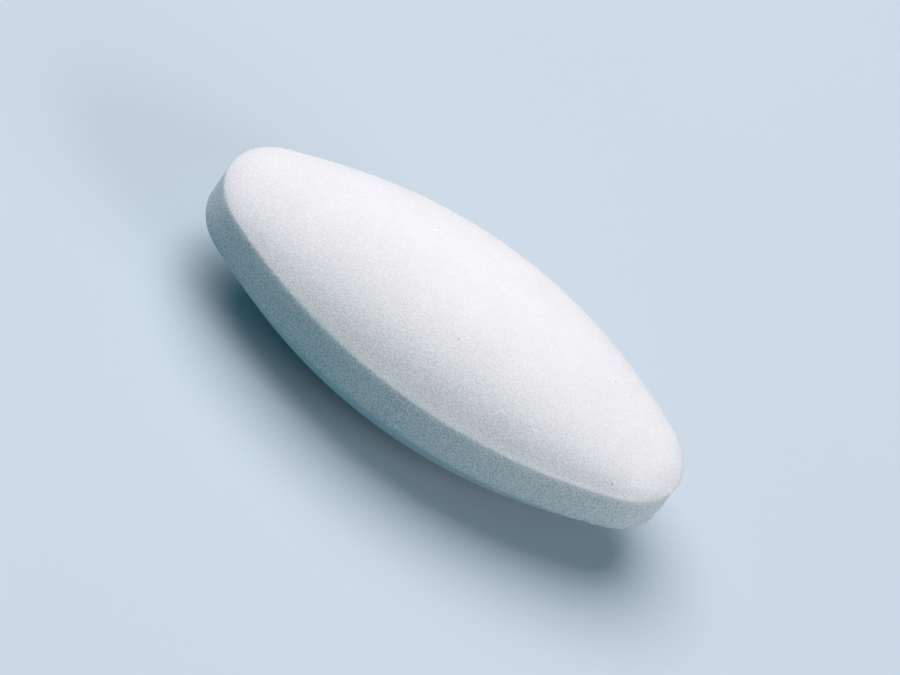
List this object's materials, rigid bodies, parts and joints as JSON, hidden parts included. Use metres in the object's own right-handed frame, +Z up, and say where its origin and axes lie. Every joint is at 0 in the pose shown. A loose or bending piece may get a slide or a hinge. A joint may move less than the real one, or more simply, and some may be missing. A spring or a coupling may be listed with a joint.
{
  "type": "magnetic stir bar",
  "caption": "Oblong white magnetic stir bar with rounded tips, an upright moulded band round its edge, a deep crown above and below, and a bar magnet sealed inside.",
  "frame": {"origin": "lowest point of the lower crown, under the middle of the bar, where it rests and spins", "axes": "+X along the length, +Y across the width, +Z up"},
  "size_m": [0.035, 0.016, 0.0123],
  "materials": {
    "jacket_fluoropolymer": "white moulded fluoropolymer, matte and slightly waxy, with a very fine grain and a few dark specks",
    "cast_magnet_alloy": "dull grey cast aluminium-nickel-cobalt magnet alloy with ground ends"
  },
  "bodies": {
    "root": {"jacket": "jacket_fluoropolymer", "magnet": "cast_magnet_alloy"}
  },
  "joints": []
}
